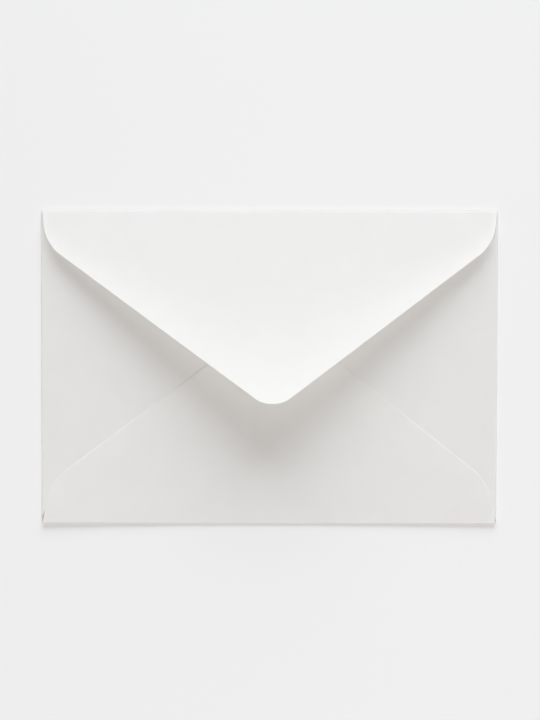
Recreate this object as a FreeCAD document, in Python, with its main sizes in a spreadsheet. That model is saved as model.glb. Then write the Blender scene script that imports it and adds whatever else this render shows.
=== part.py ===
"""Paper note envelope: one folded sheet lying on its front panel, back side up.

Millimetres and degrees. +X runs along the long edge, +Y towards the top fold and +Z up.
The origin is at the middle of the front panel's outer face.
"""
import FreeCAD
import Part
import Sketcher
import math
import os

# Driving sizes: name, value, what it measures
SIZES = (
    ("panel_width", 160.0, "long edge of the folded envelope"),
    ("panel_height", 110.0, "short edge, bottom fold to top fold"),
    ("sheet_thickness", 0.15, "paper of about 120 grams a square metre"),
    ("pocket_gap", 0.30, "air between the front panel and the side flaps"),
    ("glue_film", 0.05, "side flaps to bottom flap, filled by glue at the seams"),
    ("top_reach", 69.4, "top fold to the sharp apex of the top flap, seen from above"),
    ("top_hinge_inset", 0.4, "panel side to flap side at the top fold"),
    ("top_shoulder_drop", 11.6, "top fold to the flap's shoulder"),
    ("top_shoulder_inset", 1.7, "panel side to the flap's shoulder"),
    ("top_shoulder_radius", 14.0, "rounding of the top flap's shoulders"),
    ("top_tip_radius", 10.0, "rounding of the top flap's tip"),
    ("top_tip_shift", 1.2, "the tip sits this far right of the middle"),
    ("lift_angle", 11.5, "slope of the sprung flap where it leaves the fold"),
    ("curl_radius", 1500.0, "bend of the flap, hollow side up"),
    ("bottom_reach", 73.4, "bottom fold to the sharp apex of the bottom flap"),
    ("bottom_hinge_inset", 0.6, "panel side to flap side at the bottom fold"),
    ("bottom_shoulder_drop", 14.3, "bottom fold to the flap's shoulder"),
    ("bottom_shoulder_inset", 2.5, "panel side to the flap's shoulder"),
    ("bottom_shoulder_radius", 17.0, "rounding of the bottom flap's shoulders"),
    ("bottom_tip_radius", 10.0, "rounding of the bottom flap's tip"),
    ("bottom_tip_shift", 2.6, "the tip sits this far right of the middle"),
    ("side_reach", 78.0, "side fold to the sharp apex of a side flap"),
    ("side_hinge_inset", 0.5, "panel end to flap end at a side fold"),
    ("side_shoulder_drop", 2.0, "side fold to the flap's shoulder"),
    ("side_shoulder_inset", 6.6, "panel end to the flap's shoulder"),
    ("side_shoulder_radius", 8.0, "rounding of the side flaps' shoulders"),
    ("side_tip_radius", 10.0, "rounding of the side flaps' tips"),
    ("seam_width", 6.0, "width of the glued band along each seam"),
    ("seam_margin", 0.6, "bare paper between the glue and the cut edge"),
)

# Heights and radii that follow from the sizes
THICKNESS = "sizes.sheet_thickness"
HALF_WIDTH = "sizes.panel_width / 2"
HALF_HEIGHT = "sizes.panel_height / 2"
SIDE_FOLD = "(sizes.sheet_thickness + sizes.pocket_gap / 2)"
BACK_FOLD = "(1.5 * sizes.sheet_thickness + (sizes.pocket_gap + sizes.glue_film) / 2)"
LIFT = "sizes.lift_angle * 1 deg"

# Which edge each flap hangs from: axis across the edge, and the side of the origin it lies on
EDGES = {
    "top": ("y", 1),
    "bottom": ("y", -1),
    "left": ("x", -1),
    "right": ("x", 1),
}

doc = FreeCAD.newDocument("envelope")


def make_sheet():
    """Spreadsheet with one aliased cell a size."""
    sheet = doc.addObject("Spreadsheet::Sheet", "sizes")
    for row, (name, value, note) in enumerate(SIZES, start=1):
        sheet.set(f"A{row}", name)
        sheet.set(f"B{row}", str(value))
        sheet.set(f"C{row}", note)
        sheet.setAlias(f"B{row}", name)
    doc.recompute()
    return sheet


sheet = make_sheet()


def number(expression):
    """Value of an expression, in millimetres or degrees."""
    result = sheet.evalExpression(expression)
    return float(getattr(result, "Value", result))


def point(x, y):
    """Point at two expressions."""
    return FreeCAD.Vector(number(x), number(y), 0)


def new_sketch(body, name, role):
    """Empty sketch on one of the body's own origin planes."""
    sketch = body.newObject("Sketcher::SketchObject", name)
    plane = next(item for item in body.Origin.OriginFeatures if item.Role == role)
    sketch.AttachmentSupport = [(plane, "")]
    sketch.MapMode = "FlatFace"
    return sketch


def bind(sketch, kind, references, expression):
    """Dimension that follows an expression."""
    value = number(expression)
    if kind == "Angle":
        value = math.radians(value)
    index = sketch.addConstraint(Sketcher.Constraint(kind, *references, value))
    sketch.setExpression(f"Constraints[{index}]", expression)


def place(sketch, geometry, position, x, y):
    """Hold a point at two expressions from the sketch origin."""
    bind(sketch, "DistanceX", (-1, 1, geometry, position), x)
    bind(sketch, "DistanceY", (-1, 1, geometry, position), y)


def join(sketch, *pairs):
    """Make points coincide, two (geometry, position) references at a time."""
    for first, second in pairs:
        sketch.addConstraint(Sketcher.Constraint("Coincident", *first, *second))


def polygon(sketch, corners):
    """Closed outline through corners given as pairs of expressions."""
    points = [point(x, y) for x, y in corners]
    count = len(points)
    for index in range(count):
        sketch.addGeometry(Part.LineSegment(points[index], points[(index + 1) % count]))
    for index in range(count):
        join(sketch, ((index, 2), ((index + 1) % count, 1)))
        place(sketch, index, 1, *corners[index])


def pad(body, sketch, up, down=None):
    """Pad a sketch both ways: the same length in all, or up and down apart."""
    feature = body.newObject("PartDesign::Pad", f"{body.Name}_pad")
    feature.Profile = sketch
    feature.SideType = "Two sides" if down else "Symmetric"
    feature.setExpression("Length", up)
    if down:
        feature.setExpression("Length2", down)
    doc.recompute()
    return feature


def round_corners(body, base, corners, radius):
    """Round the upright edges that stand at the given corners."""
    wanted = [point(x, y) for x, y in corners]
    names = []
    for index, edge in enumerate(base.Shape.Edges, start=1):
        start, end = edge.Vertexes[0].Point, edge.Vertexes[-1].Point
        upright = abs(start.x - end.x) + abs(start.y - end.y) < 1e-6
        foot = FreeCAD.Vector(start.x, start.y, 0)
        if upright and min(foot.distanceToPoint(spot) for spot in wanted) < 1e-4:
            names.append(f"Edge{index}")
    if len(names) != len(corners):
        raise RuntimeError(f"{body.Name}: {len(names)} edges found for {len(corners)} corners")
    feature = body.newObject("PartDesign::Fillet", f"{body.Name}_round_{len(body.Group)}")
    feature.Base = (base, names)
    feature.setExpression("Radius", radius)
    doc.recompute()
    return feature


def front_panel():
    """Flat front panel, up to where the four folds start to turn."""
    body = doc.addObject("PartDesign::Body", "front_panel")
    sketch = new_sketch(body, "front_panel_outline", "XY_Plane")
    right = f"{HALF_WIDTH} - {SIDE_FOLD}"
    top = f"{HALF_HEIGHT} - {BACK_FOLD}"
    left, bottom = f"-({right})", f"-({top})"
    polygon(sketch, [(left, bottom), (right, bottom), (right, top), (left, top)])
    feature = body.newObject("PartDesign::Pad", "front_panel_pad")
    feature.Profile = sketch
    feature.setExpression("Length", THICKNESS)
    doc.recompute()
    return body


def flat_section(body, role, side, edge, fold, reach):
    """Section of a flap pressed flat: a half turn round the fold and a straight leaf."""
    sketch = new_sketch(body, f"{body.Name}_section", role)
    middle = f"{side} * ({edge} - {fold})"
    tip = f"{side} * ({edge} - {reach})"
    inner = f"{fold} - {THICKNESS}"
    centre = point(middle, fold)
    span = (90, 270) if side < 0 else (-90, 90)
    span = [math.radians(angle) for angle in span]
    low, high = (2, 1) if side < 0 else (1, 2)
    for radius in (number(fold), number(inner)):
        circle = Part.Circle(centre, FreeCAD.Vector(0, 0, 1), radius)
        sketch.addGeometry(Part.ArcOfCircle(circle, *span))
    outer_top = f"2 * {fold}"
    inner_top = f"2 * {fold} - {THICKNESS}"
    corners = (
        (point(middle, "0"), point(middle, THICKNESS)),
        (point(middle, inner_top), point(tip, inner_top)),
        (point(tip, inner_top), point(tip, outer_top)),
        (point(tip, outer_top), point(middle, outer_top)),
    )
    for start, end in corners:
        sketch.addGeometry(Part.LineSegment(start, end))
    join(
        sketch,
        ((0, 3), (1, 3)),
        ((0, low), (2, 1)),
        ((2, 2), (1, low)),
        ((1, high), (3, 1)),
        ((3, 2), (4, 1)),
        ((4, 2), (5, 1)),
        ((5, 2), (0, high)),
    )
    for references in ((2,), (4,), (0, 3, 0, low), (0, 3, 0, high), (0, 3, 1, high)):
        sketch.addConstraint(Sketcher.Constraint("Vertical", *references))
    for line in (3, 5):
        sketch.addConstraint(Sketcher.Constraint("Horizontal", line))
    place(sketch, 0, 3, middle, fold)
    bind(sketch, "Radius", (0,), fold)
    bind(sketch, "Radius", (1,), inner)
    bind(sketch, "DistanceX", (-1, 1, 4, 1), tip)
    return sketch


def sprung_section(body):
    """Section of the top flap: the fold stops short of a half turn and the leaf curls up."""
    sketch = new_sketch(body, f"{body.Name}_section", "YZ_Plane")
    fold, inner = BACK_FOLD, f"{BACK_FOLD} - {THICKNESS}"
    middle = f"{HALF_HEIGHT} - {fold}"
    turn = f"90 deg - {LIFT}"
    slope = f"asin(sin({LIFT}) + (sizes.top_reach - {fold}) / sizes.curl_radius)"
    end_turn = f"-90 deg - {slope}"
    centre = point(middle, fold)
    leave, arrive = math.radians(number(turn)), math.radians(number(end_turn))

    def out(start, angle, distance):
        return start + FreeCAD.Vector(math.cos(angle), math.sin(angle), 0) * distance

    radii = (number(fold), number(inner))
    curl = number("sizes.curl_radius")
    thickness = number(THICKNESS)
    hub = out(centre, leave, radii[0] + curl)
    up = FreeCAD.Vector(0, 0, 1)
    for radius in radii:
        circle = Part.Circle(centre, up, radius)
        sketch.addGeometry(Part.ArcOfCircle(circle, -math.pi / 2, leave))
    for radius in (curl, curl + thickness):
        circle = Part.Circle(hub, up, radius)
        sketch.addGeometry(Part.ArcOfCircle(circle, arrive, leave - math.pi))
    upper_end, lower_end = out(hub, arrive, curl), out(hub, arrive, curl + thickness)
    lines = (
        (point(middle, "0"), point(middle, THICKNESS)),
        (upper_end, lower_end),
        (centre, out(centre, leave, radii[0])),
        (out(centre, leave, radii[0]), hub),
        (hub, lower_end),
    )
    for start, end in lines:
        sketch.addGeometry(Part.LineSegment(start, end))
    for guide in (6, 7, 8):
        sketch.toggleConstruction(guide)
    join(
        sketch,
        ((0, 3), (1, 3)),
        ((0, 1), (4, 1)),
        ((4, 2), (1, 1)),
        ((0, 2), (2, 2)),
        ((1, 2), (3, 2)),
        ((2, 1), (5, 1)),
        ((3, 1), (5, 2)),
        ((6, 1), (0, 3)),
        ((6, 2), (0, 2)),
        ((7, 1), (0, 2)),
        ((7, 2), (2, 3)),
        ((3, 3), (2, 3)),
        ((8, 1), (2, 3)),
        ((8, 2), (3, 1)),
    )
    sketch.addConstraint(Sketcher.Constraint("Vertical", 4))
    sketch.addConstraint(Sketcher.Constraint("Vertical", 0, 3, 0, 1))
    sketch.addConstraint(Sketcher.Constraint("PointOnObject", 1, 2, 6))
    sketch.addConstraint(Sketcher.Constraint("PointOnObject", 2, 1, 8))
    place(sketch, 0, 3, middle, fold)
    bind(sketch, "Radius", (0,), fold)
    bind(sketch, "Radius", (1,), inner)
    bind(sketch, "Angle", (6,), turn)
    bind(sketch, "Angle", (7,), turn)
    bind(sketch, "Distance", (7,), "sizes.curl_radius")
    bind(sketch, "Angle", (8,), end_turn)
    return sketch


def flap_corners(name):
    """Sharp outline of a flap seen from above, from one end of its fold round to the other."""
    axis, side = EDGES[name]
    kind = name if axis == "y" else "side"
    edge, half = (HALF_HEIGHT, HALF_WIDTH) if axis == "y" else (HALF_WIDTH, HALF_HEIGHT)
    shift = f"sizes.{kind}_tip_shift" if axis == "y" else "0"
    hinge = f"{half} - sizes.{kind}_hinge_inset"
    shoulder = f"{half} - sizes.{kind}_shoulder_inset"
    outside = f"{side} * ({edge} + {THICKNESS})"
    at_edge = f"{side} * ({edge})"
    at_shoulder = f"{side} * ({edge} - sizes.{kind}_shoulder_drop)"
    at_tip = f"{side} * ({edge} - sizes.{kind}_reach)"
    corners = [
        (f"-({hinge})", outside),
        (f"-({hinge})", at_edge),
        (f"-({shoulder})", at_shoulder),
        (shift, at_tip),
        (shoulder, at_shoulder),
        (hinge, at_edge),
        (hinge, outside),
    ]
    if axis == "x":
        corners = [(across, along) for along, across in corners]
    return kind, corners


def flap_plan(name):
    """Upright block with the flap's rounded outline, to trim its section to shape."""
    kind, corners = flap_corners(name)
    body = doc.addObject("PartDesign::Body", f"{name}_flap_plan")
    sketch = new_sketch(body, f"{name}_flap_outline", "XY_Plane")
    polygon(sketch, corners)
    block = pad(body, sketch, "sizes.panel_height", THICKNESS)
    shoulders = round_corners(
        body, block, (corners[2], corners[4]), f"sizes.{kind}_shoulder_radius"
    )
    round_corners(body, shoulders, (corners[3],), f"sizes.{kind}_tip_radius")
    return body


def flap_strip(name):
    """Fold and leaf of a flap, as wide as the panel and not yet cut to its outline."""
    axis, side = EDGES[name]
    body = doc.addObject("PartDesign::Body", f"{name}_flap_strip")
    if name == "top":
        sketch = sprung_section(body)
    elif axis == "y":
        sketch = flat_section(
            body, "YZ_Plane", side, HALF_HEIGHT, BACK_FOLD, f"sizes.{name}_reach"
        )
    else:
        sketch = flat_section(
            body, "XZ_Plane", side, HALF_WIDTH, SIDE_FOLD, "sizes.side_reach"
        )
    pad(body, sketch, "sizes.panel_width" if axis == "y" else "sizes.panel_height")
    return body


def trimmed(name, pieces):
    """What several shapes have in common."""
    result = doc.addObject("Part::MultiCommon", name)
    result.Shapes = pieces
    return result


def seam(name, start, end, plans):
    """Film of glue along one seam, where the bottom flap lies on a side flap."""
    run_x = f"({end[0]} - ({start[0]}))"
    run_y = f"({end[1]} - ({start[1]}))"
    length = f"sqrt({run_x} ^ 2 + {run_y} ^ 2)"
    depth = "(sizes.seam_margin + sizes.seam_width)"
    film = doc.addObject("Part::Box", f"{name}_band")
    film.setExpression("Length", length)
    film.setExpression("Width", "sizes.seam_width")
    film.setExpression("Height", "sizes.glue_film")
    film.setExpression("Placement.Base.x", f"{start[0]} + {run_y} / {length} * {depth}")
    film.setExpression("Placement.Base.y", f"{start[1]} - {run_x} / {length} * {depth}")
    film.setExpression("Placement.Base.z", f"2 * {SIDE_FOLD}")
    film.setExpression("Placement.Rotation.Angle", f"atan2({run_y}; {run_x})")
    return trimmed(name, [film] + plans)


def check(result):
    """Stop at any object that failed and at a shape that isn't one valid solid."""
    for item in doc.Objects:
        if {"Invalid", "Error"} & set(item.State):
            raise RuntimeError(f"{item.Name} did not build")
        if item.isDerivedFrom("Sketcher::SketchObject") and not item.FullyConstrained:
            raise RuntimeError(f"{item.Name} is loose")
    shape = result.Shape
    if shape.isNull() or not shape.isValid() or len(shape.Solids) != 1:
        raise RuntimeError(f"{result.Name} isn't one valid solid")


def main():
    """Build the four flaps, glue two seams and join everything as one sheet."""
    plans = {name: flap_plan(name) for name in EDGES}
    strips = {name: flap_strip(name) for name in EDGES}
    pieces = [front_panel()]
    for name in EDGES:
        pieces.append(trimmed(f"{name}_flap", [strips[name], plans[name]]))
    corners = flap_corners("bottom")[1]
    left_shoulder, tip, right_shoulder = corners[2:5]
    pieces.append(seam("left_seam", left_shoulder, tip, [plans["left"], plans["bottom"]]))
    pieces.append(seam("right_seam", tip, right_shoulder, [plans["right"], plans["bottom"]]))
    envelope = doc.addObject("Part::MultiFuse", "envelope")
    envelope.Shapes = pieces
    envelope.Refine = True
    envelope.Label = "envelope"
    doc.recompute()
    check(envelope)
    os.makedirs("parts", exist_ok=True)
    envelope.Shape.exportStep(f"parts/{envelope.Label}.step")
    box = envelope.Shape.BoundBox
    print(f"{envelope.Label}: {box.XLength:.2f} x {box.YLength:.2f} x {box.ZLength:.2f} mm")
    print(f"volume {envelope.Shape.Volume:.1f} mm3, faces {len(envelope.Shape.Faces)}")


main()
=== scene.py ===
"""Paper note envelope: a flat blank, folded over four edges and laid on its front panel.

The back faces up, as in the photograph, and the top flap is sprung open about its fold.
"""
import math

import bmesh
import bpy
from bpy.props import FloatProperty, FloatVectorProperty, PointerProperty
from mathutils import Euler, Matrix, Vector


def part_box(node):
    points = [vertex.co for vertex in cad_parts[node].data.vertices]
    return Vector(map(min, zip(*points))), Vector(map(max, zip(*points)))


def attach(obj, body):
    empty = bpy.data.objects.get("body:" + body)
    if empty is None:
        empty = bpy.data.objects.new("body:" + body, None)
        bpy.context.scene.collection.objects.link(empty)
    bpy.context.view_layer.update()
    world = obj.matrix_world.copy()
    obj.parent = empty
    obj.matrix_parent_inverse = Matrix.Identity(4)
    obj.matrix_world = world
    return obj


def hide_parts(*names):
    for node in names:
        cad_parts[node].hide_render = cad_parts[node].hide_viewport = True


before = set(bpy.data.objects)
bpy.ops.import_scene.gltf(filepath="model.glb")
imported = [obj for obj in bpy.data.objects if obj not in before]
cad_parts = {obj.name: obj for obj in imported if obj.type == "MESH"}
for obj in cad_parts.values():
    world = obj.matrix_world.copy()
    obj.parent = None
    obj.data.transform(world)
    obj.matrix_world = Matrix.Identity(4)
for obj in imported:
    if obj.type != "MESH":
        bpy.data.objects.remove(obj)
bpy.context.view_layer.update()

bl_info = {
    "name": "Paper Note Envelope",
    "version": (1, 0, 0),
    "blender": (4, 5, 0),
    "location": "3D View > Sidebar > Envelope",
    "description": "Cuts, folds and stages a white paper note envelope",
    "category": "Add Mesh",
}

LOW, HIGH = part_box("envelope")
MM = 0.001

# Shares of the half height: where the side folds start to be pressed tighter towards the top
# corners, and the way over which that happens.
PRESS_START = 0.84
PRESS_RUN = 0.14
# How late the bottom fold opens towards its corners, 1 for evenly from the middle.
CORNER_POWER = 2.2

# Faces of the flat sheet round a shoulder, a tip and a fold.
SHOULDER_ROWS = 14
TIP_ROWS = 24
FOLD_ROWS = 18
TOP_FOLD_ROWS = 10
# Corners of the flat sheet that lie closer than this become one.
MERGE = 0.045 * MM
# How deep a point may lie and still count as one of the outer face.
SKIN = 0.01 * MM
# A face whose normal is more level than this is part of the cut edge.
EDGE_WALL = 0.5
# Neighbouring faces that turn more than this are shaded with a sharp edge.
SHARP = math.radians(42)

# Grey fibres that show on the back, in millimetres from the middle of the envelope.
SPECKS = (
    (47.6, -36.8), (55.2, -40.3), (57.4, -38.2), (-47.6, -48.9),
    (-40.4, -49.4), (-37.3, 8.5), (27.2, -5.0),
)
# Share of its size up to which a speck is at full strength.
SPECK_CORE = 0.4
# How much a height counts against a distance in the sheet where a speck fades out.
SPECK_DEPTH = 0.5

# Floor to each side of the envelope and the furthest that the camera sees, in metres.
FLOOR_REACH = 4.0
VIEW_END = 20.0
# Width of the camera's sensor in millimetres, and the photograph's size in pixels.
SENSOR = 36.0
PICTURE = (540, 720)


def length(name, description, millimetres):
    """Length property with its default in millimetres."""
    return FloatProperty(
        name=name,
        description=description,
        default=millimetres * MM,
        precision=5,
        unit="LENGTH",
        subtype="DISTANCE",
    )


def angle(name, description, degrees):
    """Angle property with its default in degrees."""
    return FloatProperty(
        name=name,
        description=description,
        default=math.radians(degrees),
        unit="ROTATION",
        subtype="ANGLE",
    )


def share(name, description, value):
    """Plain number without a unit."""
    return FloatProperty(name=name, description=description, default=value, precision=4)


def colour(name, description, value):
    """Linear colour property."""
    return FloatVectorProperty(
        name=name, description=description, default=value, size=3, min=0.0, max=1.0, subtype="COLOR"
    )


class SheetSizes(bpy.types.PropertyGroup):
    """Sizes of the folded sheet as a whole."""

    width: length("Width", "Long edge of the folded envelope", (HIGH[0] - LOW[0]) / MM)
    height: length("Height", "Short edge, bottom fold to top fold", (HIGH[1] - LOW[1]) / MM)
    thickness: length("Thickness", "Thickness of the paper", 0.15)
    side_fold: length("Side fold", "Outer radius of the side folds", 0.30)
    pressed_fold: length("Pressed fold", "Outer radius of the side folds at the top corners", 0.20)
    top_fold: length("Top fold", "Outer radius of the top fold", 0.32)
    crease: share("Crease", "Bulge of the top and side folds, 1 for a round fold", 0.36)
    bottom_crease: share("Bottom crease", "Bulge of the bottom fold, 1 for a round fold", 0.5)
    bottom_fold: length("Bottom fold", "Outer radius in the middle of the bottom fold", 0.30)
    left_corner: length("Left corner", "Outer radius of the bottom fold at its left end", 0.62)
    right_corner: length("Right corner", "Outer radius of the bottom fold at its right end", 0.50)
    back_height: length("Back height", "Table to the upper face of the bottom flap", 0.765)
    settle: length("Settle", "Way over which the back comes down to that height", 9.0)
    lift: angle("Lift", "Slope of the sprung flap where it leaves the top fold", 11.9)
    curl: length("Curl radius", "Bend of the sprung flap, hollow side up", 2100.0)
    soft_edge: length("Soft edge", "Rounding of the cut edges", 0.03)
    seam_width: length("Seam width", "Pressed band along the bottom flap's cut edge", 0.25)
    left_seam: length("Left seam", "Fall of the face in that band at the left seam", 0.062)
    right_seam: length("Right seam", "Fall of the face in that band at the right seam", 0.01)
    seam_change: length("Seam change", "Way from the left fall to the right one at the tip", 20.0)
    step: length("Step", "Longest side of a face in the flat sheet", 2.0)
    strip: length("Strip", "Narrow row of faces where a fold runs out into a flap", 0.08)


class TopFlap(bpy.types.PropertyGroup):
    """Outline of the top flap, as seen from above."""

    reach: length("Reach", "Top fold to the sharp apex", 69.4)
    hinge_inset: length("Hinge inset", "Panel side to flap side at the fold", 0.4)
    shoulder_drop: length("Shoulder drop", "Fold to shoulder", 11.6)
    shoulder_inset: length("Shoulder inset", "Panel side to shoulder", 1.7)
    shoulder_radius: length("Shoulder radius", "Rounding of the shoulders", 14.0)
    tip_radius: length("Tip radius", "Rounding of the tip", 10.0)
    tip_shift: length("Tip shift", "Tip to the right of the middle", 1.2)


class BottomFlap(bpy.types.PropertyGroup):
    """Outline of the bottom flap, as seen from above."""

    reach: length("Reach", "Bottom fold to the sharp apex", 73.4)
    hinge_inset: length("Hinge inset", "Panel side to flap side at the fold", 0.3)
    shoulder_drop: length("Shoulder drop", "Fold to shoulder", 14.3)
    shoulder_inset: length("Shoulder inset", "Panel side to shoulder", 2.5)
    shoulder_radius: length("Shoulder radius", "Rounding of the shoulders", 17.0)
    tip_radius: length("Tip radius", "Rounding of the tip", 10.0)
    tip_shift: length("Tip shift", "Tip to the right of the middle", 2.6)


class SideFlaps(bpy.types.PropertyGroup):
    """Outline of the two side flaps, as seen from above."""

    reach: length("Reach", "Side fold to the sharp apex", 78.0)
    hinge_inset: length("Hinge inset", "Panel end to flap end at the fold", 0.32)
    shoulder_drop: length("Shoulder drop", "Fold to shoulder", 2.0)
    shoulder_inset: length("Shoulder inset", "Panel end to shoulder", 6.6)
    shoulder_radius: length("Shoulder radius", "Rounding of the shoulders", 8.0)
    tip_radius: length("Tip radius", "Rounding of the tip", 10.0)
    tip_shift: length("Tip shift", "Tip above the middle", 0.0)


class PaperLook(bpy.types.PropertyGroup):
    """Colour and surface of the paper."""

    bright: colour("Bright", "Face of the paper where its fibres lie dense", (0.995, 0.99, 0.975))
    dull: colour("Dull", "Face of the paper where its fibres lie thin", (0.972, 0.967, 0.95))
    glow: colour("Glow", "Colour of the light that comes through the paper", (0.99, 0.985, 0.96))
    through: share("Through", "Part of the light that passes each face of the paper", 0.41)
    roughness: share("Roughness", "Mean roughness of the uncoated surface", 0.86)
    tooth: length("Tooth", "Depth of the fibre relief", 0.012)
    speck: colour("Speck", "Colour of the few grey fibres in the paper", (0.82, 0.81, 0.79))
    speck_size: length("Speck size", "Middle of a speck to where it fades out", 0.27)
    speck_height: length("Speck height", "Table to the layer that the specks lie in", 0.7)


class StudioLook(bpy.types.PropertyGroup):
    """Floor, lamps and camera."""

    floor: colour("Floor", "Colour of the pale floor", (0.849, 0.845, 0.839))
    key_colour: colour("Key colour", "Colour of the lamp beyond the top fold", (0.90, 0.953, 1.0))
    key_share: share("Key share", "Part of the light on a level sheet from the key", 0.383)
    key_elevation: angle("Key elevation", "Height of the key above the floor", 21.8)
    key_azimuth: angle("Key azimuth", "Turn of the key to the right of the top fold", 4.0)
    key_distance: length("Key distance", "Key to sheet", 1700.0)
    key_width: length("Key width", "Width of the key", 2000.0)
    key_depth: length("Key depth", "Extent of the key square to its width", 1000.0)
    front_colour: colour(
        "Front colour", "Colour of the lamp before the bottom fold", (1.0, 0.972, 0.962)
    )
    front_share: share("Front share", "Part of the light on a level sheet from that lamp", 0.512)
    front_elevation: angle("Front elevation", "Height of the front lamp above the floor", 62.0)
    front_azimuth: angle("Front azimuth", "Turn of that lamp to the right of the top fold", 172.0)
    front_distance: length("Front distance", "Front lamp to sheet", 1150.0)
    front_width: length("Front width", "Width of the front lamp", 1200.0)
    front_depth: length("Front depth", "Extent of the front lamp square to its width", 1200.0)
    room_colour: colour("Room colour", "Colour of the light from all round", (1.0, 0.972, 0.962))
    room_share: share("Room share", "Part of the light on a level sheet from all round", 0.165)
    distance: length("Distance", "Camera to sheet", 700.0)
    tilt: angle("Tilt", "Lean of the camera towards the top fold", 2.9)
    roll: angle("Roll", "Turn of the camera about its view", 0.1)
    view_width: length("View width", "Width of the picture on the floor", 189.75)
    aim: FloatVectorProperty(
        name="Aim",
        description="Point of the sheet in the middle of the picture",
        default=(0.23 * MM, 2.65 * MM, 0.4 * MM),
        size=3,
        precision=5,
        unit="LENGTH",
        subtype="TRANSLATION",
    )


def flap_outline(flap, half_hinge, fold_length, fold_radius, stretch):
    """Corners of a flap in the flat sheet, as (along, past the fold line), from end to end.

    stretch turns a distance seen from above into paper, since a sloping flap looks shorter.
    """

    def past(inset):
        return fold_length + max(0.0, inset - fold_radius) * stretch

    end = half_hinge - flap.hinge_inset
    shoulder = half_hinge - flap.shoulder_inset
    return [
        (-end, 0.0),
        (-end, past(0.0)),
        (-shoulder, past(flap.shoulder_drop)),
        (flap.tip_shift, past(flap.reach)),
        (shoulder, past(flap.shoulder_drop)),
        (end, past(0.0)),
        (end, 0.0),
    ]


def round_corner(bm, corner, radius, segments):
    """Replace a corner of the flat sheet by an arc of the given radius."""
    edges = [edge for edge in corner.link_edges if len(edge.link_faces) == 1]
    first, second = (edge.other_vert(corner).co - corner.co for edge in edges)
    turn = math.pi - first.angle(second)
    bmesh.ops.bevel(
        bm,
        geom=[corner],
        offset=radius * math.tan(turn / 2),
        offset_type="OFFSET",
        segments=segments,
        profile=0.5,
        affect="VERTICES",
        material=-1,
    )


def cut_across(bm, axis, places):
    """Cut the flat sheet along straight lines, square to one axis."""
    normal = Vector((1, 0, 0)) if axis == "x" else Vector((0, 1, 0))
    for place in places:
        geometry = bm.verts[:] + bm.edges[:] + bm.faces[:]
        bmesh.ops.bisect_plane(
            bm, geom=geometry, dist=1e-7, plane_co=normal * place, plane_no=normal
        )


def steps(start, end, step):
    """Evenly spaced places between two ends, no further apart than step."""
    count = max(1, math.ceil((end - start) / step))
    return [start + (end - start) * index / count for index in range(count + 1)]


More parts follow.
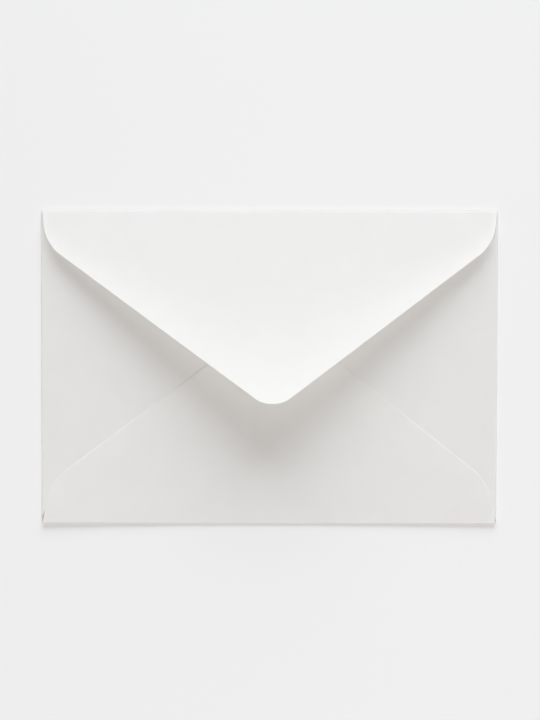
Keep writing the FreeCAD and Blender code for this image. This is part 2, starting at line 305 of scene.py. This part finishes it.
class Folder:
    """Turns points of the flat sheet into points of the folded envelope."""

    def __init__(self, sheet):
        self.sheet = sheet
        self.half_width = sheet.width / 2
        self.half_height = sheet.height / 2
        self.side_line = self.half_width - sheet.side_fold * sheet.crease
        self.top_line = self.half_height - sheet.top_fold * sheet.crease
        self.bottom_line = self.bottom_start(max(sheet.left_corner, sheet.right_corner))
        self.turn = math.pi - sheet.lift

    def bottom_start(self, radius):
        """Where the bottom fold begins, so that it ends at the envelope's bottom side."""
        return self.half_height - radius * self.sheet.bottom_crease

    def fold_length(self, radius, turn=math.pi):
        """Paper used up by a fold, along the middle of the sheet."""
        return (radius - self.sheet.thickness / 2) * turn

    def wrap(self, past, depth, radius, crease, turn=math.pi, curl=0.0):
        """Outward and upward place of a point past a fold line, depth inside the outer face.

        Up to the end of the fold the point runs round it, and from there on along the flap.
        """
        arc = self.fold_length(radius, turn)
        if past <= arc:
            at = turn * past / arc
            reach = radius - depth
            return reach * math.sin(at) * crease, radius - reach * math.cos(at)
        leaf = past - arc
        start = math.pi - turn
        slope = start + (leaf / curl if curl else 0.0)
        out = radius * math.sin(turn) * crease
        up = radius - radius * math.cos(turn)
        if curl:
            out -= curl * (math.sin(slope) - math.sin(start))
            up += curl * (math.cos(start) - math.cos(slope))
        else:
            out -= leaf
        return out - depth * math.sin(slope), up - depth * math.cos(slope)

    def bottom_radius(self, x):
        """Outer radius of the bottom fold, tight in the middle and sprung at both corners."""
        corner = self.sheet.left_corner if x < 0 else self.sheet.right_corner
        rise = min(1.0, abs(x) / self.half_width) ** CORNER_POWER
        return self.sheet.bottom_fold + (corner - self.sheet.bottom_fold) * rise

    def back_rise(self, x, y):
        """How far the bottom fold lifts the back at a place seen from above."""
        radius = self.bottom_radius(x)
        inside = max(0.0, self.bottom_start(radius) + y)
        fade = math.exp(-((inside / self.sheet.settle) ** 2))
        return (2 * radius - self.sheet.back_height) * fade

    def side_height(self, x, y):
        """Table to the upper face of a side flap, which the corner of the bottom fold lifts too."""
        press = min(1.0, max(0.0, (y / self.half_height - PRESS_START) / PRESS_RUN))
        press *= press * (3 - 2 * press)
        usual = self.sheet.side_fold + (self.sheet.pressed_fold - self.sheet.side_fold) * press
        return 2 * usual + max(0.0, self.back_rise(x, y))

    def fold_side(self, x, y, depth, radius, line):
        """Place of a point past a side fold line."""
        side = math.copysign(1.0, x)
        past = abs(x) - line
        out, up = self.wrap(past, depth, radius, self.sheet.crease)
        out += line
        if past > self.fold_length(radius):
            up += self.side_height(side * out, y) - 2 * radius
        return Vector((side * out, y, up))

    def fold_top(self, x, y, depth):
        """Place of a point past the top fold line."""
        sheet = self.sheet
        past = y - self.top_line
        out, up = self.wrap(past, depth, sheet.top_fold, sheet.crease, self.turn, sheet.curl)
        return Vector((x, self.top_line + out, up))

    def fold_bottom(self, x, y, depth, radius, line):
        """Place of a point past the bottom fold line."""
        past = -line - y
        out, up = self.wrap(past, depth, radius, self.sheet.bottom_crease)
        if past > self.fold_length(radius):
            up += self.sheet.back_height + self.back_rise(x, -line - out) - 2 * radius
        return Vector((x, -line - out, up))

    def place(self, point):
        """Place of one point: x and y in the flat sheet, z its depth inside the outer face."""
        x, y, depth = point
        side_radius = self.side_height(math.copysign(self.half_width, x), y) / 2
        side_line = self.half_width - side_radius * self.sheet.crease
        if abs(x) > side_line:
            return self.fold_side(x, y, depth, side_radius, side_line)
        if y > self.top_line:
            return self.fold_top(x, y, depth)
        bottom_radius = self.bottom_radius(x)
        bottom_line = self.bottom_start(bottom_radius)
        if y < -bottom_line:
            return self.fold_bottom(x, y, depth, bottom_radius, bottom_line)
        return Vector((x, y, depth))


def flap_list(settings, folder):
    """Each flap with its hinge, its fold and how it lies round the panel, in the order cut."""
    sheet = settings.sheet
    plan_slope = sheet.lift + settings.top_flap.reach / sheet.curl / 2
    bottom_radius = max(sheet.left_corner, sheet.right_corner)
    side_hinge = (settings.side_flaps, folder.half_height, folder.side_line)
    side_bend = (sheet.side_fold, sheet.crease, math.pi, 1.0)
    return (
        (settings.top_flap, folder.half_width, folder.top_line,
         sheet.top_fold, sheet.crease, folder.turn, 1 / math.cos(plan_slope),
         lambda along, past: (along, past)),
        (settings.bottom_flap, folder.half_width, folder.bottom_line,
         bottom_radius, sheet.bottom_crease, math.pi, 1.0,
         lambda along, past: (along, -past)),
        (*side_hinge, *side_bend, lambda along, past: (-past, along)),
        (*side_hinge, *side_bend, lambda along, past: (past, along)),
    )


def panel_outline(bm, folder, hinges):
    """Corners of the front panel and of the four hinges, in order round the panel."""
    heights = {-1: -folder.bottom_line, 1: folder.top_line}
    corners = {
        (side, end): bm.verts.new((side * folder.side_line, heights[end], 0.0))
        for side in (-1, 1)
        for end in (-1, 1)
    }
    top, bottom, left, right = hinges
    return [
        corners[-1, -1], left[0], left[1], corners[-1, 1], top[0], top[1],
        corners[1, 1], right[1], right[0], corners[1, -1], bottom[1], bottom[0],
    ]


def flat_sheet(settings):
    """The blank before folding, cut from one sheet and lying with its outer face down."""
    folder = Folder(settings.sheet)
    bm = bmesh.new()
    hinges, rounds = [], []
    for flap, half_hinge, line, radius, crease, turn, stretch, lay in flap_list(settings, folder):
        fold_length = folder.fold_length(radius, turn)
        outline = flap_outline(flap, half_hinge, fold_length, radius * crease, stretch)
        corners = [bm.verts.new((*lay(along, line + past), 0.0)) for along, past in outline]
        bm.faces.new(corners)
        hinges.append((corners[0], corners[-1]))
        rounds += [(corners[index], flap.shoulder_radius, SHOULDER_ROWS) for index in (2, 4)]
        rounds.append((corners[3], flap.tip_radius, TIP_ROWS))
    bm.faces.new(panel_outline(bm, folder, hinges))
    bm.normal_update()
    for face in bm.faces:
        if face.normal.z > 0:
            face.normal_flip()
    for corner, radius, rows in rounds:
        round_corner(bm, corner, radius, rows)
    bmesh.ops.inset_region(
        bm,
        faces=bm.faces[:],
        thickness=settings.sheet.seam_width,
        use_boundary=True,
        use_even_offset=True,
    )
    return bm, folder


def fold_cuts(sheet, start, arc, rows, end):
    """Places to cut over a fold and on to the end of its flap."""
    cuts = steps(start, start + arc, arc / rows)
    return cuts + steps(cuts[-1] + sheet.strip, end, sheet.step)[:-1]


def cut_grid(bm, folder):
    """Cut the flat sheet into small faces, fine across the folds."""
    sheet = folder.sheet
    widest = max(abs(vert.co.x) for vert in bm.verts)
    highest = max(vert.co.y for vert in bm.verts)
    lowest = min(vert.co.y for vert in bm.verts)
    corner = max(sheet.left_corner, sheet.right_corner)
    side_arc = folder.fold_length(corner)
    top_arc = folder.fold_length(sheet.top_fold, folder.turn)
    bottom_arc = folder.fold_length(corner) + (corner - sheet.bottom_fold) * sheet.bottom_crease
    side_start = folder.half_width - corner * sheet.crease
    side = fold_cuts(sheet, side_start, side_arc, FOLD_ROWS, widest)
    across = steps(-side_start, side_start, sheet.step)[1:-1]
    cut_across(bm, "x", [-place for place in side] + across + side)
    top = fold_cuts(sheet, folder.top_line, top_arc, TOP_FOLD_ROWS, highest)
    bottom = fold_cuts(sheet, folder.bottom_line, bottom_arc, FOLD_ROWS, -lowest)
    along = steps(-folder.bottom_line, folder.top_line, sheet.step)[1:-1]
    cut_across(bm, "y", [-place for place in bottom] + along + top)


def cut_rims(bm):
    """Edges where a face of the sheet meets its cut edge."""
    return [
        edge
        for edge in bm.edges
        if sorted(abs(face.normal.z) > EDGE_WALL for face in edge.link_faces) == [False, True]
    ]


def press_seam(bm, folder):
    """Let the outer face of the bottom flap fall towards its cut edge, where it is glued down."""
    sheet = folder.sheet
    longest_fold = folder.fold_length(max(sheet.left_corner, sheet.right_corner))
    flap_start = -folder.bottom_line - longest_fold
    for edge in cut_rims(bm):
        for vert in edge.verts:
            if vert.co.y < flap_start and vert.co.z < SKIN:
                right = min(1.0, max(0.0, 0.5 + vert.co.x / sheet.seam_change))
                vert.co.z = sheet.left_seam + (sheet.right_seam - sheet.left_seam) * right


def soften_cut_edges(bm, rounding):
    """Round both rims of the cut edge while the sheet is still flat."""
    bm.normal_update()
    rims = cut_rims(bm)
    bmesh.ops.bevel(
        bm,
        geom=rims,
        offset=rounding,
        offset_type="OFFSET",
        segments=2,
        profile=0.5,
        affect="EDGES",
        clamp_overlap=False,
        material=-1,
    )


def add_specks(nodes, links, look, place, paper):
    """Colour of the paper with the grey specks of the back face laid over it."""
    flatten = nodes.new("ShaderNodeVectorMath")
    flatten.operation = "MULTIPLY"
    flatten.inputs[1].default_value = (1.0, 1.0, SPECK_DEPTH)
    links.new(place.outputs["Object"], flatten.inputs[0])
    nearest = None
    for x, y in SPECKS:
        gap = nodes.new("ShaderNodeVectorMath")
        gap.operation = "DISTANCE"
        gap.inputs[1].default_value = (x * MM, y * MM, look.speck_height * SPECK_DEPTH)
        links.new(flatten.outputs["Vector"], gap.inputs[0])
        if nearest is None:
            nearest = gap.outputs["Value"]
            continue
        closer = nodes.new("ShaderNodeMath")
        closer.operation = "MINIMUM"
        links.new(nearest, closer.inputs[0])
        links.new(gap.outputs["Value"], closer.inputs[1])
        nearest = closer.outputs["Value"]
    fade = nodes.new("ShaderNodeMapRange")
    links.new(nearest, fade.inputs["Value"])
    fade.inputs["From Min"].default_value = look.speck_size * SPECK_CORE
    fade.inputs["From Max"].default_value = look.speck_size
    fade.inputs["To Min"].default_value = 1.0
    fade.inputs["To Max"].default_value = 0.0
    spotted = nodes.new("ShaderNodeMix")
    spotted.data_type = "RGBA"
    links.new(fade.outputs["Result"], spotted.inputs["Factor"])
    links.new(paper, spotted.inputs["A"])
    spotted.inputs["B"].default_value = (*look.speck, 1.0)
    return spotted.outputs["Result"]


def paper_material(look):
    """White uncoated paper: cloudy formation, fine fibres, a soft tooth, light through it."""
    material = bpy.data.materials.new("white_paper")
    material.use_nodes = True
    nodes, links = material.node_tree.nodes, material.node_tree.links
    shader = nodes["Principled BSDF"]
    place = nodes.new("ShaderNodeTexCoord")

    def noise(label, scale, detail, roughness, distortion=0.0):
        node = nodes.new("ShaderNodeTexNoise")
        node.label = label
        node.inputs["Scale"].default_value = scale
        node.inputs["Detail"].default_value = detail
        node.inputs["Roughness"].default_value = roughness
        node.inputs["Distortion"].default_value = distortion
        links.new(place.outputs["Object"], node.inputs["Vector"])
        return node.outputs["Fac"]

    def blend(first, second, share_of_second):
        node = nodes.new("ShaderNodeMix")
        node.inputs["Factor"].default_value = share_of_second
        links.new(first, node.inputs["A"])
        links.new(second, node.inputs["B"])
        return node.outputs["Result"]

    def spread(value, low, high, to_low, to_high):
        node = nodes.new("ShaderNodeMapRange")
        links.new(value, node.inputs["Value"])
        node.inputs["From Min"].default_value = low
        node.inputs["From Max"].default_value = high
        node.inputs["To Min"].default_value = to_low
        node.inputs["To Max"].default_value = to_high
        return node.outputs["Result"]

    clouds = noise("formation", scale=140.0, detail=3.0, roughness=0.55)
    fibres = noise("fibres", scale=1100.0, detail=6.0, roughness=0.65, distortion=1.4)
    tooth = noise("tooth", scale=4200.0, detail=3.0, roughness=0.5)
    density = blend(clouds, fibres, share_of_second=0.45)
    tint = nodes.new("ShaderNodeMix")
    tint.data_type = "RGBA"
    links.new(spread(density, 0.36, 0.64, 0.0, 1.0), tint.inputs["Factor"])
    tint.inputs["A"].default_value = (*look.dull, 1.0)
    tint.inputs["B"].default_value = (*look.bright, 1.0)
    spotted = add_specks(nodes, links, look, place, tint.outputs["Result"])
    links.new(spotted, shader.inputs["Base Color"])
    links.new(
        spread(fibres, 0.3, 0.7, look.roughness - 0.05, look.roughness + 0.05),
        shader.inputs["Roughness"],
    )
    relief = nodes.new("ShaderNodeBump")
    relief.inputs["Strength"].default_value = 1.0
    relief.inputs["Distance"].default_value = look.tooth
    links.new(blend(fibres, tooth, share_of_second=0.4), relief.inputs["Height"])
    links.new(relief.outputs["Normal"], shader.inputs["Normal"])
    glow = nodes.new("ShaderNodeBsdfTranslucent")
    glow.inputs["Color"].default_value = (*look.glow, 1.0)
    sheet = nodes.new("ShaderNodeMixShader")
    sheet.inputs["Fac"].default_value = look.through
    links.new(shader.outputs["BSDF"], sheet.inputs[1])
    links.new(glow.outputs["BSDF"], sheet.inputs[2])
    links.new(sheet.outputs["Shader"], nodes["Material Output"].inputs["Surface"])
    return material


class ENVELOPE_OT_fold_sheet(bpy.types.Operator):
    """Cut the blank, fold its four flaps and lay the envelope on its front panel"""

    bl_idname = "envelope.fold_sheet"
    bl_label = "Fold the Sheet"

    def execute(self, context):
        settings = context.scene.envelope
        bm, folder = flat_sheet(settings)
        cut_grid(bm, folder)
        bmesh.ops.remove_doubles(bm, verts=bm.verts[:], dist=MERGE)
        bmesh.ops.solidify(bm, geom=bm.faces[:], thickness=settings.sheet.thickness)
        press_seam(bm, folder)
        soften_cut_edges(bm, settings.sheet.soft_edge)
        for vert in bm.verts:
            vert.co = folder.place(vert.co)
        if not all(edge.is_manifold for edge in bm.edges):
            raise RuntimeError("the folded sheet is open")
        mesh = bpy.data.meshes.new("envelope_sheet")
        for face in bm.faces:
            face.smooth = True
        bm.to_mesh(mesh)
        bm.free()
        mesh.set_sharp_from_angle(angle=SHARP)
        piece = bpy.data.objects.new("envelope_sheet", mesh)
        context.scene.collection.objects.link(piece)
        mesh.materials.append(paper_material(settings.paper))
        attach(piece, "root")
        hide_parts("envelope")
        return {"FINISHED"}


def floor_material(look):
    """Matte pale floor that takes the envelope's shadow."""
    material = bpy.data.materials.new("pale_floor")
    material.use_nodes = True
    shader = material.node_tree.nodes["Principled BSDF"]
    shader.inputs["Base Color"].default_value = (*look.floor, 1.0)
    shader.inputs["Roughness"].default_value = 1.0
    shader.inputs["Specular IOR Level"].default_value = 0.0
    return material


class ENVELOPE_OT_studio(bpy.types.Operator):
    """Lay the floor and set up the lamps and the camera of the photograph"""

    bl_idname = "envelope.studio"
    bl_label = "Set Up the Studio"

    def execute(self, context):
        look = context.scene.envelope.studio
        self.lay_floor(context, look)
        for name in ("key", "front"):
            self.hang_lamp(context, look, name)
        self.fill_room(context, look)
        self.aim_camera(context, look)
        context.scene.view_settings.view_transform = "Standard"
        return {"FINISHED"}

    def lay_floor(self, context, look):
        """Wide level floor under the front panel."""
        bm = bmesh.new()
        bmesh.ops.create_grid(bm, x_segments=1, y_segments=1, size=FLOOR_REACH)
        mesh = bpy.data.meshes.new("floor")
        bm.to_mesh(mesh)
        bm.free()
        mesh.materials.append(floor_material(look))
        floor = bpy.data.objects.new("floor", mesh)
        context.scene.collection.objects.link(floor)

    def hang_lamp(self, context, look, name):
        """Large oval softbox aimed at the sheet, as strong as its share on a level sheet asks."""

        def setting(part):
            return getattr(look, f"{name}_{part}")

        distance, elevation = setting("distance"), setting("elevation")
        lamp = bpy.data.lights.new(name, "AREA")
        lamp.shape = "ELLIPSE"
        lamp.size = setting("width")
        lamp.size_y = setting("depth")
        lamp.color = setting("colour")
        reach = math.hypot(distance, lamp.size / 2) * math.hypot(distance, lamp.size_y / 2)
        lamp.energy = setting("share") * math.pi ** 2 * reach / math.sin(elevation)
        softbox = bpy.data.objects.new(name, lamp)
        softbox.rotation_euler = Euler((elevation - math.pi / 2, 0.0, -setting("azimuth")), "XYZ")
        away = softbox.rotation_euler.to_matrix() @ Vector((0, 0, 1))
        softbox.location = away * distance
        context.scene.collection.objects.link(softbox)

    def fill_room(self, context, look):
        """Soft light from all round, and the same pale grey behind the floor's edge."""
        world = bpy.data.worlds.new("room")
        world.use_nodes = True
        nodes, links = world.node_tree.nodes, world.node_tree.links
        fill = nodes["Background"]
        fill.inputs["Color"].default_value = (*look.room_colour, 1.0)
        fill.inputs["Strength"].default_value = look.room_share
        seen = nodes.new("ShaderNodeBackground")
        seen.inputs["Color"].default_value = (*look.floor, 1.0)
        seen.inputs["Strength"].default_value = 1.0
        path = nodes.new("ShaderNodeLightPath")
        mix = nodes.new("ShaderNodeMixShader")
        links.new(path.outputs["Is Camera Ray"], mix.inputs["Fac"])
        links.new(fill.outputs["Background"], mix.inputs[1])
        links.new(seen.outputs["Background"], mix.inputs[2])
        links.new(mix.outputs["Shader"], nodes["World Output"].inputs["Surface"])
        context.scene.world = world

    def aim_camera(self, context, look):
        """Camera nearly straight above the envelope."""
        lens = bpy.data.cameras.new("camera")
        view_height = look.view_width * PICTURE[1] / PICTURE[0]
        lens.sensor_width = SENSOR
        lens.lens = lens.sensor_width * look.distance / view_height
        lens.clip_end = VIEW_END
        camera = bpy.data.objects.new("camera", lens)
        camera.rotation_euler = Euler((-look.tilt, 0.0, look.roll), "XYZ")
        away = camera.rotation_euler.to_matrix() @ Vector((0, 0, 1))
        camera.location = Vector(look.aim) + away * look.distance
        context.scene.collection.objects.link(camera)
        context.scene.camera = camera


class EnvelopeSettings(bpy.types.PropertyGroup):
    """Everything that the panel shows."""

    sheet: PointerProperty(type=SheetSizes)
    top_flap: PointerProperty(type=TopFlap)
    bottom_flap: PointerProperty(type=BottomFlap)
    side_flaps: PointerProperty(type=SideFlaps)
    paper: PointerProperty(type=PaperLook)
    studio: PointerProperty(type=StudioLook)


class ENVELOPE_PT_panel(bpy.types.Panel):
    """Envelope tools in the sidebar"""

    bl_idname = "ENVELOPE_PT_panel"
    bl_label = "Envelope"
    bl_space_type = "VIEW_3D"
    bl_region_type = "UI"
    bl_category = "Envelope"

    def draw(self, context):
        settings = context.scene.envelope
        for group in ("sheet", "top_flap", "bottom_flap", "side_flaps", "paper", "studio"):
            box = self.layout.box()
            box.label(text=group.replace("_", " ").capitalize())
            values = getattr(settings, group)
            for name in values.__annotations__:
                box.prop(values, name)
        self.layout.operator(ENVELOPE_OT_fold_sheet.bl_idname)
        self.layout.operator(ENVELOPE_OT_studio.bl_idname)


CLASSES = (
    SheetSizes,
    TopFlap,
    BottomFlap,
    SideFlaps,
    PaperLook,
    StudioLook,
    EnvelopeSettings,
    ENVELOPE_OT_fold_sheet,
    ENVELOPE_OT_studio,
    ENVELOPE_PT_panel,
)


def register():
    """Add the properties, the operators and the panel."""
    for cls in CLASSES:
        bpy.utils.register_class(cls)
    bpy.types.Scene.envelope = PointerProperty(type=EnvelopeSettings)


def unregister():
    """Take away what register added."""
    del bpy.types.Scene.envelope
    for cls in reversed(CLASSES):
        bpy.utils.unregister_class(cls)


def main():
    """Register the add-on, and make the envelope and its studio."""
    register()
    bpy.ops.envelope.fold_sheet()
    bpy.ops.envelope.studio()


if __name__ == "__main__":
    main()
